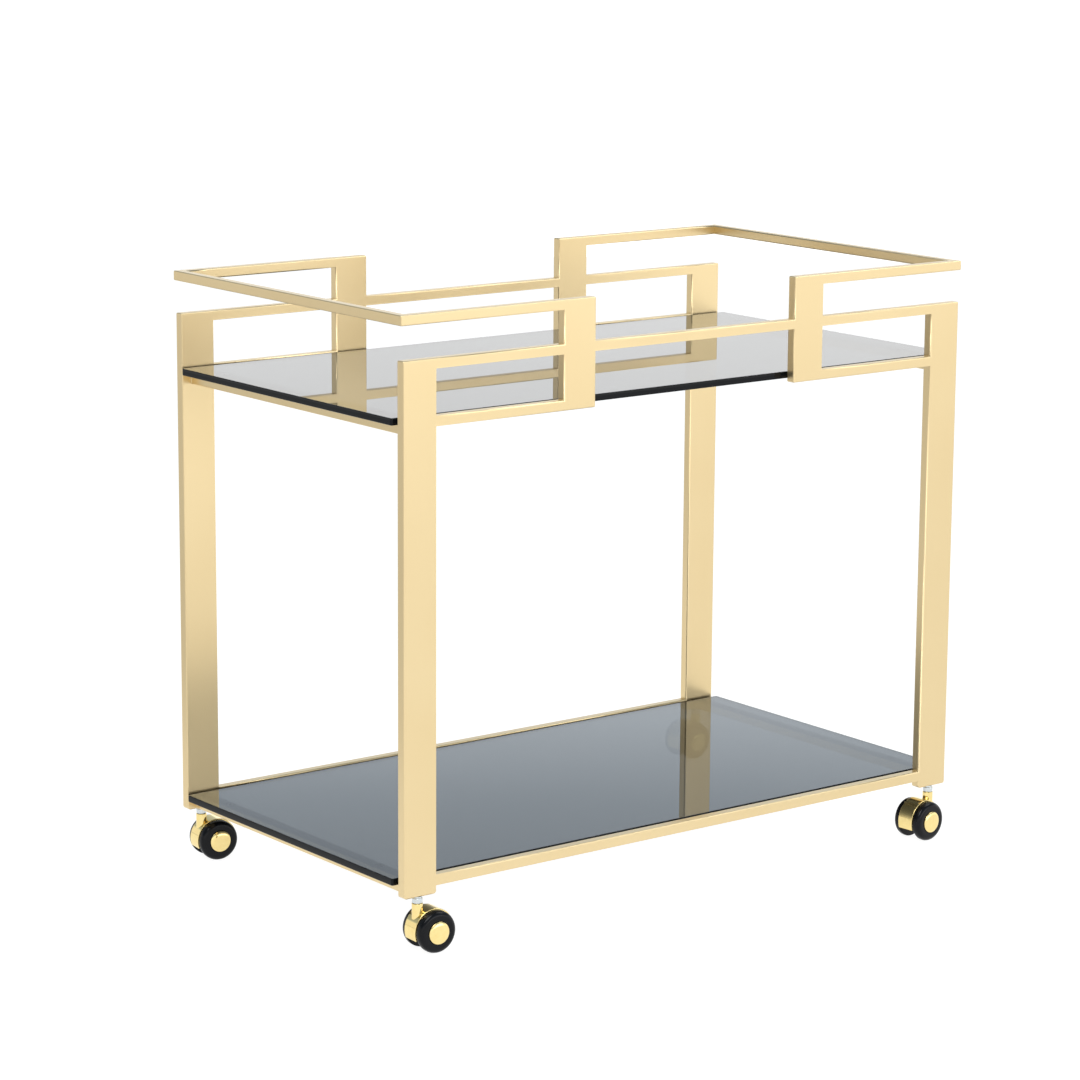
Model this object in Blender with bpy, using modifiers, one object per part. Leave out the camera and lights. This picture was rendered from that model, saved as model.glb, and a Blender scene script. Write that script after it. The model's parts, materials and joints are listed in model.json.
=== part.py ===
"""Bar cart on wheels: two flat metal frames, gallery rails, two glass shelves and four casters.

Units are metres and +Z is up. +X runs along the cart, and its front faces -Y. The origin lies on the
floor, under the middle of the cart. Each sub-part is one object. What turns hangs from an empty that
stands on its joint's axis.
"""

import math

import bmesh
import bpy
from mathutils import Vector

# Overall sizes
CART_LENGTH = 0.850  # outer face to outer face of the legs
CART_DEPTH = 0.476  # front face of the front frame to back face of the back frame
LEG_HEIGHT = 0.6225  # bottom of a leg to its top, which is also the top of the mid rails
GALLERY_RISE = 0.0515  # from the leg tops up to the top of the gallery rails

# Frame bars. Every bar of a frame is as deep as the others, so the frame's faces are flush.
BAR_DEPTH = 0.0125
LEG_WIDTH = 0.046
POST_WIDTH = 0.046
POST_INSET = 0.2265  # from a leg's outer face to the near side of the post beside it
MID_RAIL_HEIGHT = 0.012
SHELF_RAIL_HEIGHT = 0.0122
BOTTOM_RAIL_HEIGHT = 0.013
GALLERY_HEIGHT = 0.012
GALLERY_END_WIDTH = 0.012
GALLERY_OVERHANG = 0.003  # how far the gallery's end bar stands out past the legs
UPPER_SHELF_DROP = 0.0653  # from the leg tops down to the top of the shelf rails
LOWER_SHELF_LIFT = 0.0222  # from the leg bottoms up to the top of the bottom rails
EDGE_ROUND = 0.0015
EDGE_STEPS = 2

# Glass shelves, and the cross rails that carry them
GLASS_THICKNESS = 0.0085
GLASS_SINK = 0.0006  # the glass lies this far below the top of the rails beside it
GLASS_OVERHANG = 0.004  # past the outer faces of the legs
GLASS_SIDE_GAP = 0.0055  # between the glass and each frame's inner face
GLASS_EDGE_ROUND = 0.001
CROSS_RAIL_HEIGHT = 0.012
CROSS_RAIL_WIDTH = 0.016
CROSS_RAIL_INSET = 0.0125  # from the legs' outer faces to the rail's outer side
PAD_THICKNESS = 0.0005  # room for the thin clear pads between cross rail and glass

# Casters. A caster is drawn with its swivel axis on Z and its axle on the +X side.
WHEEL_RADIUS = 0.025
AXLE_DROP = 0.042  # from a leg's bottom to the axle
TRAIL = 0.016  # from the swivel axis to the axle
HOOD_RADIUS = 0.0265
HOOD_WALL = 0.002
HOOD_WIDTH = 0.0225
HOOD_END_DEG = 20.0  # how far below the axle's height the hood's skirt reaches, on both sides
HOOD_WEB = 0.005
AXLE_BOSS_RADIUS = 0.006
STEM_BOSS_RADIUS = 0.0065
STEM_BOSS_WALL = 0.003  # solid bottom of the stem socket
WHEEL_WIDTH = 0.0095
TREAD_WIDTH = 0.0047
TREAD_CHAMFER = 0.001
WHEEL_FACE_RADIUS = 0.0195  # where the flat outer face ends and the rounded shoulder starts
CAP_RADIUS = 0.0135
CAP_SEAT_DEPTH = 0.0026
CAP_RIM_PROUD = 0.001  # how far the cap's rim stands out of the wheel's face
CAP_CROWN = 0.0024
CAP_EDGE = 0.0007
AXLE_RADIUS = 0.003
AXLE_ENGAGEMENT = 0.006  # length of axle inside each wheel
AXLE_CHAMFER = 0.0005
STEM_RADIUS = 0.004
STEM_IN_LEG = 0.015
STEM_IN_HOOD = 0.016
STEM_CHAMFER = 0.0006
COLLAR_RADIUS = 0.0062
COLLAR_HEIGHT = 0.0062
NECK_RADIUS = 0.0052
NECK_HEIGHT = 0.0018

# Clearances
JOINT_GAP = 0.0003  # between pieces that are welded or pressed together
SWIVEL_GAP = 0.0004  # between a stem's collar and its hood
WHEEL_SIDE_GAP = 0.0006  # between a hood and its wheels
RUNNING_GAP = 0.0003  # between a shaft and the bore that turns on it

# Facets
ROUND_STEPS = 32
SMALL_ROUND_STEPS = 16
HOOD_STEPS = 20
SHOULDER_STEPS = 4
CROWN_STEPS = 3
SMOOTH_ANGLE = math.radians(35)

# The way each caster points at rest: the direction from its swivel axis to its axle, counted from +X.
REST_HEADING_DEG = {
    "front_left": -3.0,
    "front_right": 185.0,
    "back_left": -8.0,
    "back_right": 185.0,
}

# Heights and places that follow from the sizes above
LEG_BOTTOM = WHEEL_RADIUS + AXLE_DROP
LEG_TOP = LEG_BOTTOM + LEG_HEIGHT
GALLERY_TOP = LEG_TOP + GALLERY_RISE
UPPER_RAIL_TOP = LEG_TOP - UPPER_SHELF_DROP
LOWER_RAIL_TOP = LEG_BOTTOM + LOWER_SHELF_LIFT
HALF_LENGTH = CART_LENGTH / 2
HALF_DEPTH = CART_DEPTH / 2
LEG_INNER_X = HALF_LENGTH - LEG_WIDTH
POST_OUTER_X = HALF_LENGTH - POST_INSET
POST_INNER_X = POST_OUTER_X - POST_WIDTH
FRAME_INNER_Y = HALF_DEPTH - BAR_DEPTH
GALLERY_OUTER_X = HALF_LENGTH + GALLERY_OVERHANG
GALLERY_INNER_X = GALLERY_OUTER_X - GALLERY_END_WIDTH
COLLAR_BOTTOM = LEG_BOTTOM - JOINT_GAP - NECK_HEIGHT - COLLAR_HEIGHT
HOOD_TOP = COLLAR_BOTTOM - SWIVEL_GAP
STEM_BOTTOM = COLLAR_BOTTOM - STEM_IN_HOOD
WHEEL_INNER_Y = HOOD_WIDTH / 2 + WHEEL_SIDE_GAP
WHEEL_OUTER_Y = WHEEL_INNER_Y + WHEEL_WIDTH
AXLE_HALF = WHEEL_INNER_Y + AXLE_ENGAGEMENT

SIDES = {"left": -1, "right": 1}
FRONT_BACK = {"front": -1, "back": 1}


def clear_scene():
    """Removes every object that the scene starts with."""
    for obj in list(bpy.data.objects):
        bpy.data.objects.remove(obj, do_unlink=True)


def new_collection(name):
    """A collection linked to the scene."""
    collection = bpy.data.collections.new(name)
    bpy.context.scene.collection.children.link(collection)
    return collection


def make_material(name, color, roughness, metallic=0.0, transmission=0.0):
    """A Principled BSDF material of one colour."""
    material = bpy.data.materials.new(name)
    material.use_nodes = True
    shader = material.node_tree.nodes["Principled BSDF"]
    shader.inputs["Base Color"].default_value = (*color, 1.0)
    shader.inputs["Roughness"].default_value = roughness
    shader.inputs["Metallic"].default_value = metallic
    shader.inputs["Transmission Weight"].default_value = transmission
    material.diffuse_color = (*color, 1.0)
    return material


def place(mesh, name, material, collection, location=(0, 0, 0), rotation=(0, 0, 0), parent=None):
    """An object that shows a mesh at a place, under a parent if there is one."""
    obj = bpy.data.objects.new(name, mesh)
    if not mesh.materials:
        mesh.materials.append(material)
    collection.objects.link(obj)
    obj.parent = parent
    obj.location = location
    obj.rotation_euler = rotation
    return obj


def box_mesh(name, size):
    """A box around the origin."""
    mesh = bpy.data.meshes.new(name)
    shape = bmesh.new()
    bmesh.ops.create_cube(shape, size=1.0)
    bmesh.ops.scale(shape, vec=size, verts=shape.verts)
    shape.to_mesh(mesh)
    shape.free()
    return mesh


def cylinder_mesh(name, radius, length, steps=SMALL_ROUND_STEPS):
    """A cylinder around the origin, along Z."""
    mesh = bpy.data.meshes.new(name)
    shape = bmesh.new()
    bmesh.ops.create_cone(
        shape, cap_ends=True, segments=steps, radius1=radius, radius2=radius, depth=length
    )
    shape.to_mesh(mesh)
    shape.free()
    return mesh


def mark_rounded_edges(mesh, rounded_ends):
    """Gives a box's long edges a bevel weight, and those of its named ends ("low", "high") too."""
    shape = bmesh.new()
    shape.from_mesh(mesh)
    weight = shape.edges.layers.float.new("bevel_weight_edge")
    reach = [max(abs(v.co[axis]) for v in shape.verts) for axis in range(3)]
    long_axis = reach.index(max(reach))
    for edge in shape.edges:
        start, end = (v.co[long_axis] for v in edge.verts)
        is_long = start * end < 0
        is_low = "low" in rounded_ends and max(start, end) < 0
        is_high = "high" in rounded_ends and min(start, end) > 0
        edge[weight] = 1.0 if is_long or is_low or is_high else 0.0
    shape.to_mesh(mesh)
    shape.free()


def add_bevel(obj, width, limit_method):
    """A rounding of an object's edges."""
    bevel = obj.modifiers.new("Rounded edges", "BEVEL")
    bevel.width = width
    bevel.segments = EDGE_STEPS
    bevel.limit_method = limit_method
    return bevel


def add_boolean(obj, other, operation):
    """A Boolean between an object and a helper mesh."""
    boolean = obj.modifiers.new(f"{operation.title()} {other.name}", "BOOLEAN")
    boolean.operation = operation
    boolean.solver = "EXACT"
    boolean.object = other


def as_helper(obj):
    """Keeps a cutter or a joined shape out of the render."""
    obj.hide_render = True
    obj.display_type = "WIRE"
    return obj


def add_bar(name, low, high, material, collection, rounded_ends=()):
    """A straight bar between two opposite corners, its long edges and its free ends rounded."""
    low, high = Vector(low), Vector(high)
    mesh = box_mesh(name, high - low)
    mark_rounded_edges(mesh, rounded_ends)
    bar = place(mesh, name, material, collection, location=(low + high) / 2)
    add_bevel(bar, EDGE_ROUND, "WEIGHT")
    return bar


def span(sign, inner, outer):
    """The low and high end of a stretch that lies on one side of the middle plane."""
    return (inner, outer) if sign > 0 else (-outer, -inner)


def turned_mesh(name, profile, steps):
    """A round solid: a profile of (radius, height), from the top down the outside, swept round Z."""
    outline = bpy.data.meshes.new(name + "_profile")
    points = [(radius, 0.0, height) for radius, height in profile]
    outline.from_pydata(points, [(i, i + 1) for i in range(len(points) - 1)], [])
    spun = bpy.data.objects.new(name + "_profile", outline)
    bpy.context.scene.collection.objects.link(spun)
    screw = spun.modifiers.new("Turn", "SCREW")
    screw.axis = "Z"
    screw.angle = math.tau
    screw.steps = steps
    screw.render_steps = steps
    screw.use_merge_vertices = True
    screw.merge_threshold = 1e-5
    return baked_mesh(spun, name)


def baked_mesh(source, name):
    """The mesh that an object's curve and modifiers make, doubles merged. The object is removed."""
    bpy.context.view_layer.update()
    graph = bpy.context.evaluated_depsgraph_get()
    mesh = bpy.data.meshes.new_from_object(source.evaluated_get(graph), depsgraph=graph)
    mesh.name = name
    shape = bmesh.new()
    shape.from_mesh(mesh)
    bmesh.ops.remove_doubles(shape, verts=shape.verts, dist=1e-6)
    shape.to_mesh(mesh)
    shape.free()
    mesh.shade_smooth()
    mesh.set_sharp_from_angle(angle=SMOOTH_ANGLE)
    bpy.data.objects.remove(source, do_unlink=True)
    return mesh


def arc(centre, radii, start_deg, end_deg, steps):
    """Points on an ellipse's arc."""
    points = []
    for i in range(steps + 1):
        angle = math.radians(start_deg + (end_deg - start_deg) * i / steps)
        x = centre[0] + radii[0] * math.cos(angle)
        y = centre[1] + radii[1] * math.sin(angle)
        points.append((x, y))
    return points


def flat_mesh(name, outline, thickness):
    """A flat closed outline in the XZ plane, as thick along Y as asked for."""
    curve = bpy.data.curves.new(name, "CURVE")
    curve.dimensions = "2D"
    curve.fill_mode = "BOTH"
    curve.extrude = thickness / 2
    spline = curve.splines.new("POLY")
    spline.points.add(len(outline) - 1)
    for point, (x, z) in zip(spline.points, outline):
        point.co = (x, z, 0.0, 1.0)
    spline.use_cyclic_u = True
    plate = bpy.data.objects.new(name, curve)
    bpy.context.scene.collection.objects.link(plate)
    mesh = baked_mesh(plate, name)
    stand_up(mesh)
    return mesh


def stand_up(mesh):
    """Turns a mesh drawn flat in XY so that its Y becomes Z."""
    for vertex in mesh.vertices:
        x, y, z = vertex.co
        vertex.co = (x, -z, y)


def add_frames(metal, collection, cutters):
    """The front and the back frame: legs, posts, mid rails, shelf rails and a bottom rail each."""
    stem_hole = cylinder_mesh("stem_hole", STEM_RADIUS + JOINT_GAP, 2 * (STEM_IN_LEG + JOINT_GAP))
    for face, toward in FRONT_BACK.items():
        near, far = span(toward, FRAME_INNER_Y, HALF_DEPTH)
        for side, sign in SIDES.items():
            place_name = f"{face}_{side}"
            x0, x1 = span(sign, LEG_INNER_X, HALF_LENGTH)
            leg = add_bar(
                f"leg_{place_name}",
                (x0, near, LEG_BOTTOM),
                (x1, far, LEG_TOP),
                metal,
                collection,
                ("low", "high"),
            )
            foot = ((x0 + x1) / 2, (near + far) / 2, LEG_BOTTOM)
            hole = place(stem_hole, f"stem_hole_{place_name}", metal, cutters, foot)
            add_boolean(leg, as_helper(hole), "DIFFERENCE")
            x0, x1 = span(sign, POST_INNER_X, POST_OUTER_X)
            add_bar(
                f"post_{place_name}",
                (x0, near, UPPER_RAIL_TOP - SHELF_RAIL_HEIGHT),
                (x1, far, GALLERY_TOP),
                metal,
                collection,
                ("low", "high"),
            )
            x0, x1 = span(sign, POST_OUTER_X + JOINT_GAP, LEG_INNER_X - JOINT_GAP)
            add_bar(
                f"mid_rail_{place_name}",
                (x0, near, LEG_TOP - MID_RAIL_HEIGHT),
                (x1, far, LEG_TOP),
                metal,
                collection,
            )
            add_bar(
                f"shelf_rail_{place_name}",
                (x0, near, UPPER_RAIL_TOP - SHELF_RAIL_HEIGHT),
                (x1, far, UPPER_RAIL_TOP),
                metal,
                collection,
            )
        reach = POST_INNER_X - JOINT_GAP
        add_bar(
            f"mid_rail_{face}_centre",
            (-reach, near, LEG_TOP - MID_RAIL_HEIGHT),
            (reach, far, LEG_TOP),
            metal,
            collection,
        )
        reach = LEG_INNER_X - JOINT_GAP
        add_bar(
            f"bottom_rail_{face}",
            (-reach, near, LOWER_RAIL_TOP - BOTTOM_RAIL_HEIGHT),
            (reach, far, LOWER_RAIL_TOP),
            metal,
            collection,
        )


def add_gallery(metal, collection):
    """The raised rail round each end: an end bar across the cart, and two short bars to the posts."""
    bottom = GALLERY_TOP - GALLERY_HEIGHT
    for side, sign in SIDES.items():
        x0, x1 = span(sign, GALLERY_INNER_X, GALLERY_OUTER_X)
        add_bar(
            f"gallery_end_{side}",
            (x0, -HALF_DEPTH, bottom),
            (x1, HALF_DEPTH, GALLERY_TOP),
            metal,
            collection,
            ("low", "high"),
        )
        x0, x1 = span(sign, POST_OUTER_X + JOINT_GAP, GALLERY_INNER_X - JOINT_GAP)
        for face, toward in FRONT_BACK.items():
            near, far = span(toward, FRAME_INNER_Y, HALF_DEPTH)
            add_bar(
                f"gallery_bar_{face}_{side}",
                (x0, near, bottom),
                (x1, far, GALLERY_TOP),
                metal,
                collection,
            )


def add_shelves(metal, glass, collection):
    """The two glass shelves, each on two cross rails that join the front and the back legs."""
    reach_x = HALF_LENGTH + GLASS_OVERHANG
    reach_y = FRAME_INNER_Y - GLASS_SIDE_GAP
    rail_reach = FRAME_INNER_Y - JOINT_GAP
    for level, rail_top in {"upper": UPPER_RAIL_TOP, "lower": LOWER_RAIL_TOP}.items():
        top = rail_top - GLASS_SINK
        bottom = top - GLASS_THICKNESS
        name = f"glass_shelf_{level}"
        mesh = box_mesh(name, (2 * reach_x, 2 * reach_y, GLASS_THICKNESS))
        shelf = place(mesh, name, glass, collection, (0.0, 0.0, (top + bottom) / 2))
        add_bevel(shelf, GLASS_EDGE_ROUND, "ANGLE")
        seat = bottom - PAD_THICKNESS
        for side, sign in SIDES.items():
            outer = HALF_LENGTH - CROSS_RAIL_INSET
            x0, x1 = span(sign, outer - CROSS_RAIL_WIDTH, outer)
            add_bar(
                f"cross_rail_{level}_{side}",
                (x0, -rail_reach, seat - CROSS_RAIL_HEIGHT),
                (x1, rail_reach, seat),
                metal,
                collection,
            )


def stem_profile():
    """The stem: a shank in the leg, a thin neck, the collar and the pin that the hood swivels on."""
    shank_top = LEG_BOTTOM + STEM_IN_LEG
    neck_top = LEG_BOTTOM - JOINT_GAP
    collar_top = neck_top - NECK_HEIGHT
    return [
        (0.0, shank_top),
        (STEM_RADIUS - STEM_CHAMFER, shank_top),
        (STEM_RADIUS, shank_top - STEM_CHAMFER),
        (STEM_RADIUS, neck_top),
        (NECK_RADIUS, neck_top),
        (NECK_RADIUS, collar_top),
        (COLLAR_RADIUS - STEM_CHAMFER, collar_top),
        (COLLAR_RADIUS, collar_top - STEM_CHAMFER),
        (COLLAR_RADIUS, COLLAR_BOTTOM),
        (STEM_RADIUS, COLLAR_BOTTOM),
        (STEM_RADIUS, STEM_BOTTOM + STEM_CHAMFER),
        (STEM_RADIUS - STEM_CHAMFER, STEM_BOTTOM),
        (0.0, STEM_BOTTOM),
    ]


def axle_profile():
    """The axle: a pin with chamfered ends."""
    return [
        (0.0, AXLE_HALF),
        (AXLE_RADIUS - AXLE_CHAMFER, AXLE_HALF),
        (AXLE_RADIUS, AXLE_HALF - AXLE_CHAMFER),
        (AXLE_RADIUS, AXLE_CHAMFER - AXLE_HALF),
        (AXLE_RADIUS - AXLE_CHAMFER, -AXLE_HALF),
        (0.0, -AXLE_HALF),
    ]


def wheel_profile():
    """A wheel, heights counted from the caster's middle plane: seat, face, shoulder, tread, bore."""
    seat = WHEEL_OUTER_Y - CAP_SEAT_DEPTH
    seat_radius = CAP_RADIUS + JOINT_GAP
    bore_radius = AXLE_RADIUS + RUNNING_GAP
    bore_end = AXLE_HALF + RUNNING_GAP
    tread_end = WHEEL_INNER_Y + TREAD_WIDTH
    shoulder_size = (WHEEL_RADIUS - WHEEL_FACE_RADIUS, WHEEL_OUTER_Y - tread_end)
    shoulder = arc((WHEEL_FACE_RADIUS, tread_end), shoulder_size, 90.0, 0.0, SHOULDER_STEPS)
    return [
        (0.0, seat),
        (seat_radius, seat),
        (seat_radius, WHEEL_OUTER_Y),
        *shoulder,
        (WHEEL_RADIUS, WHEEL_INNER_Y + TREAD_CHAMFER),
        (WHEEL_RADIUS - TREAD_CHAMFER, WHEEL_INNER_Y),
        (bore_radius, WHEEL_INNER_Y),
        (bore_radius, bore_end),
        (0.0, bore_end),
    ]


def cap_profile():
    """The hub cap that closes a wheel's outer side: a low crown above a short rim."""
    back = WHEEL_OUTER_Y - CAP_SEAT_DEPTH + JOINT_GAP
    rim = WHEEL_OUTER_Y + CAP_RIM_PROUD
    crown = arc((0.0, rim), (CAP_RADIUS - CAP_EDGE, CAP_CROWN), 90.0, 0.0, CROWN_STEPS)
    return [*crown, (CAP_RADIUS, rim - CAP_EDGE), (CAP_RADIUS, back), (0.0, back)]


def hood_mesh(metal, cutters):
    """The hood: a skirt bent round between the wheels, a web, the axle's boss and the stem's socket."""
    centre = (TRAIL, WHEEL_RADIUS)
    start, end = -HOOD_END_DEG, 180.0 + HOOD_END_DEG
    inner_radius = HOOD_RADIUS - HOOD_WALL
    outside = arc(centre, (HOOD_RADIUS, HOOD_RADIUS), start, end, HOOD_STEPS)
    inside = arc(centre, (inner_radius, inner_radius), end, start, HOOD_STEPS)
    hood = place(flat_mesh("skirt", outside + inside, HOOD_WIDTH), "hood_shape", metal, cutters)

    web_radius = HOOD_RADIUS - HOOD_WALL / 2
    web_outline = arc(centre, (web_radius, web_radius), start / 2, end + start / 2, HOOD_STEPS)
    web = place(flat_mesh("web", web_outline, HOOD_WEB), "hood_web", metal, cutters)

    boss_mesh = cylinder_mesh("axle_boss", AXLE_BOSS_RADIUS, HOOD_WIDTH)
    axle_place = (TRAIL, 0.0, WHEEL_RADIUS)
    across = (math.pi / 2, 0.0, 0.0)
    axle_boss = place(boss_mesh, "axle_boss", metal, cutters, axle_place, across)

    socket_bottom = STEM_BOTTOM - RUNNING_GAP
    boss_bottom = socket_bottom - STEM_BOSS_WALL
    boss_length = HOOD_TOP - boss_bottom
    boss_mesh = cylinder_mesh("stem_boss", STEM_BOSS_RADIUS, boss_length)
    boss_place = (0.0, 0.0, boss_bottom + boss_length / 2)
    stem_boss = place(boss_mesh, "stem_boss", metal, cutters, boss_place)

    hole_mesh = cylinder_mesh("axle_hole", AXLE_RADIUS + JOINT_GAP, 2 * HOOD_WIDTH)
    axle_hole = place(hole_mesh, "axle_hole", metal, cutters, axle_place, across)

    socket_length = 2 * (HOOD_TOP - socket_bottom)
    hole_mesh = cylinder_mesh("stem_socket", STEM_RADIUS + RUNNING_GAP, socket_length)
    socket = place(hole_mesh, "stem_socket", metal, cutters, (0.0, 0.0, HOOD_TOP))

    for part in (web, axle_boss, stem_boss):
        add_boolean(hood, part, "UNION")
    for part in (axle_hole, socket):
        add_boolean(hood, part, "DIFFERENCE")
    mesh = baked_mesh(hood, "hood")
    for part in (web, axle_boss, stem_boss, axle_hole, socket):
        as_helper(part)
    return mesh


def add_pivot(name, location, turn, collection, parent=None):
    """An empty on a joint's axis."""
    pivot = bpy.data.objects.new(name, None)
    collection.objects.link(pivot)
    pivot.empty_display_size = WHEEL_RADIUS
    pivot.parent = parent
    pivot.location = location
    pivot.rotation_euler = (0.0, 0.0, turn)
    return pivot


def add_casters(materials, collection, cutters):
    """Four swivel casters: a stem in the leg, a hood that turns on it, and two wheels on one axle."""
    stem = turned_mesh("stem", stem_profile(), SMALL_ROUND_STEPS)
    axle = turned_mesh("axle", axle_profile(), SMALL_ROUND_STEPS)
    wheel = turned_mesh("wheel", wheel_profile(), ROUND_STEPS)
    cap = turned_mesh("cap", cap_profile(), ROUND_STEPS)
    hood = hood_mesh(materials["polished"], cutters)
    stem_y = HALF_DEPTH - BAR_DEPTH / 2
    stem_x = HALF_LENGTH - LEG_WIDTH / 2
    for face, toward in FRONT_BACK.items():
        for side, sign in SIDES.items():
            corner = f"{face}_{side}"
            name = f"caster_{corner}"
            heading = math.radians(REST_HEADING_DEG[corner])
            ground = (sign * stem_x, toward * stem_y, 0.0)
            place(stem, f"{name}_stem", materials["zinc"], collection, ground)
            swivel = add_pivot(f"{name}_swivel", ground, heading, collection)
            place(hood, f"{name}_hood", materials["polished"], collection, parent=swivel)
            hub = (TRAIL, 0.0, WHEEL_RADIUS)
            along_y = (-math.pi / 2, 0.0, 0.0)
            place(axle, f"{name}_axle", materials["zinc"], collection, hub, along_y, swivel)
            front_is = -1 if math.cos(heading) > 0 else 1
            for end, outward in {"front": front_is, "back": -front_is}.items():
                tilt = (-outward * math.pi / 2, 0.0, 0.0)
                wheel_name = f"{name}_wheel_{end}"
                place(wheel, wheel_name, materials["wheel"], collection, hub, tilt, swivel)
                place(cap, f"{name}_cap_{end}", materials["polished"], collection, hub, tilt, swivel)


def build():
    """Builds the whole cart."""
    clear_scene()
    cart = new_collection("bar_cart")
    cutters = new_collection("cutters")
    satin = make_material("satin_gold_metal", (0.72, 0.56, 0.30), 0.32, metallic=1.0)
    smoked = make_material("smoked_glass", (0.12, 0.13, 0.14), 0.04, transmission=0.8)
    casters = {
        "polished": make_material("polished_gold_plating", (0.83, 0.66, 0.30), 0.16, metallic=1.0),
        "zinc": make_material("zinc_plated_steel", (0.60, 0.63, 0.66), 0.28, metallic=1.0),
        "wheel": make_material("black_nylon_wheel", (0.012, 0.012, 0.014), 0.22),
    }
    add_frames(satin, cart, cutters)
    add_gallery(satin, cart)
    add_shelves(satin, smoked, cart)
    add_casters(casters, cart, cutters)


build()
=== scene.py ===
"""Finish-quality looks of a bar cart on wheels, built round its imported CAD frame.

Units are metres and +Z is up. The cart's length runs along X, its front faces -Y, and it stands on the
floor at z = 0. Every piece takes its place from the boxes and joints of the frame.
"""

from __future__ import annotations

import json
import logging
import math
from dataclasses import dataclass
from enum import Enum

import bpy
import numpy as np
from mathutils import Euler, Matrix, Vector

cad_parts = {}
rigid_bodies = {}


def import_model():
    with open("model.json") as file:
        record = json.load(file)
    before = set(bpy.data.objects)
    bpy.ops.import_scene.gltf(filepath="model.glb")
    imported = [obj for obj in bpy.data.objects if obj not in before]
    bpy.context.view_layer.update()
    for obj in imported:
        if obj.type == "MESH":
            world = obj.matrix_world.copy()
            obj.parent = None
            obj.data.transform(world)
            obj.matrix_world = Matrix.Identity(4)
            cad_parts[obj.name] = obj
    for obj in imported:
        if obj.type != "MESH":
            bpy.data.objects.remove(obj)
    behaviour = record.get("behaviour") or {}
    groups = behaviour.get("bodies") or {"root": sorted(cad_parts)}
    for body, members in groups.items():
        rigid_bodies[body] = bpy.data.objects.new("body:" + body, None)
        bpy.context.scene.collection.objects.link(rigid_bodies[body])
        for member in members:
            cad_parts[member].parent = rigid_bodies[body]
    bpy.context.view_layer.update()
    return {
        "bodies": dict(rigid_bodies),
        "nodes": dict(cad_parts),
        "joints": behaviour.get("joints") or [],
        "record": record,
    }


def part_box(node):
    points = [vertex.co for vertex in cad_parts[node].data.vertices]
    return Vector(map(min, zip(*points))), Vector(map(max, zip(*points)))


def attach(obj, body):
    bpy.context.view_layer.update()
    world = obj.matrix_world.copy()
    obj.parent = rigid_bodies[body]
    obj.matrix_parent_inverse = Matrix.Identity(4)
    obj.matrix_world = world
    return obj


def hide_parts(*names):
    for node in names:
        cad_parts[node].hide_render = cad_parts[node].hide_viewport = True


LOG = logging.getLogger("bar_cart")
MM = 0.001
CORNERS = ("front_left", "front_right", "back_left", "back_right")
LEVELS = ("upper", "lower")
SIDES = ("left", "right")
SMOOTH_DEG = 30.0  # faces that meet at less than this are shaded as one
FUSED_SMOOTH_DEG = 28.0  # the same, on a union of shapes
SUPPORT = 0.05  # how far past an arc its support point lies, as a share of the radius


class Grain(Enum):
    """The direction in which a bar was brushed, which is its length."""

    ALONG_X = (1.0, 0.0, 0.0)
    ALONG_Y = (0.0, 1.0, 0.0)
    ALONG_Z = (0.0, 0.0, 1.0)


class Facing(Enum):
    """Which of a caster's two wheels is meant, by the way that its outer side looks."""

    FRONT = "front"
    BACK = "back"


# ---------------------------------------------------------------- surfaces


@dataclass
class Skin:
    """Points and faces of a closed surface, before it becomes a mesh."""

    points: np.ndarray
    faces: list[np.ndarray]

    def placed(self, axes: np.ndarray, origin: np.ndarray) -> Skin:
        """Turns and moves the surface: a new point is origin plus the old one in the given axes.

        Args:
            axes: The 3 x 3 rotation whose rows are the new X, Y and Z directions.
            origin: The new place of the old origin.

        Returns:
            The placed surface.
        """
        return Skin(self.points @ axes + origin, self.faces)

    def volume(self) -> float:
        """The enclosed volume: the sum over fans of triangles of a . (b x c) / 6."""
        total = 0.0
        for block in self.faces:
            first = self.points[block[:, 0]]
            for step in range(1, block.shape[1] - 1):
                second = self.points[block[:, step]]
                third = self.points[block[:, step + 1]]
                total += float(np.einsum("ij,ij->", first, np.cross(second, third)))
        return total / 6.0

    def outward(self) -> Skin:
        """The same surface with its faces pointing out."""
        if self.volume() > 0.0:
            return self
        return Skin(self.points, [block[:, ::-1] for block in self.faces])


def arc(
    centre: tuple[float, float], radii: tuple[float, float], ends: tuple[float, float], steps: int
) -> np.ndarray:
    """Points on an ellipse's arc: centre + (radius_1 * cos a, radius_2 * sin a).

    Args:
        centre: The ellipse's middle.
        radii: Its two half axes.
        ends: The first and the last angle, in degrees.
        steps: How many chords the arc has.

    Returns:
        An array of steps + 1 rows.
    """
    angle = np.radians(np.linspace(ends[0], ends[1], steps + 1))
    return np.stack([centre[0] + radii[0] * np.cos(angle), centre[1] + radii[1] * np.sin(angle)], axis=1)


def rounded_rectangle(width: float, height: float, radius: float, steps: int) -> np.ndarray:
    """A closed outline: four quarter circles, each centred a radius inside its corner.

    A point close to each end of an arc keeps the flat sides flat to the eye.

    Args:
        width: Full size along the first axis.
        height: Full size along the second axis.
        radius: Of the corners.
        steps: Chords in each corner.

    Returns:
        An array of 4 * (steps + 3) rows, running anticlockwise.
    """
    across, up = width / 2 - radius, height / 2 - radius
    corners = ((across, up, 0.0), (-across, up, 90.0), (-across, -up, 180.0), (across, -up, 270.0))
    quarters = []
    for x, y, start in corners:
        quarter = arc((x, y), (radius, radius), (start, start + 90.0), steps)
        turn = math.radians(start)
        side = np.array([math.sin(turn), -math.cos(turn)]) * radius * SUPPORT
        ahead = np.array([-math.cos(turn), -math.sin(turn)]) * radius * SUPPORT
        quarters.append(np.vstack([quarter[0] + side, quarter, quarter[-1] + ahead]))
    return np.vstack(quarters)


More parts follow.
